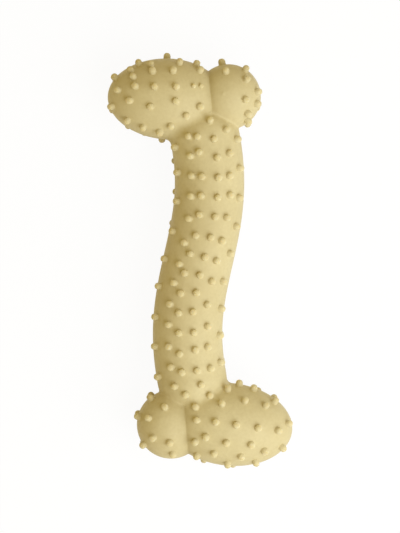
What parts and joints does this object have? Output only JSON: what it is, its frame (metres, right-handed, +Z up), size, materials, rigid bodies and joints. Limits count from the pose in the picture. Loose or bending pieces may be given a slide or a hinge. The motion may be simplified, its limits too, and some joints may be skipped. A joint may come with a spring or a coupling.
{
  "type": "rubber chew toy",
  "caption": "Solid rubber chew bone for a dog: an S-swayed round shaft between paired large and small knuckles, studded all over with small round-topped nubs.",
  "frame": {"origin": "on the floor, under the middle of the bone's bounding box", "axes": "+Z up, with the bone lying flat on its nubs; +Y along the bone towards the end whose large knuckle is on the -X side; +X across the bone"},
  "size_m": [0.0664, 0.15, 0.0337],
  "materials": {
    "rubber": "matt cream-yellow moulded rubber with a faint soft sheen"
  },
  "bodies": {
    "root": {"shaft": "rubber", "upper_large_knuckle": "rubber", "upper_small_knuckle": "rubber", "lower_large_knuckle": "rubber", "lower_small_knuckle": "rubber", "shaft_nubs_top_row_1": "rubber", "shaft_nubs_top_row_2": "rubber", "shaft_nubs_top_row_3": "rubber", "shaft_nubs_top_row_4": "rubber", "shaft_nubs_top_row_5": "rubber", "shaft_nubs_top_row_6": "rubber", "shaft_nubs_under_row_1": "rubber", "shaft_nubs_under_row_2": "rubber", "shaft_nubs_under_row_3": "rubber", "shaft_nubs_under_row_4": "rubber", "shaft_nubs_under_row_5": "rubber", "shaft_nubs_under_row_6": "rubber", "upper_large_knuckle_nubs_top": "rubber", "upper_large_knuckle_nubs_under": "rubber", "upper_small_knuckle_nubs_top": "rubber", "upper_small_knuckle_nubs_under": "rubber", "lower_large_knuckle_nubs_top": "rubber", "lower_large_knuckle_nubs_under": "rubber", "lower_small_knuckle_nubs_top": "rubber", "lower_small_knuckle_nubs_under": "rubber"}
  },
  "joints": []
}
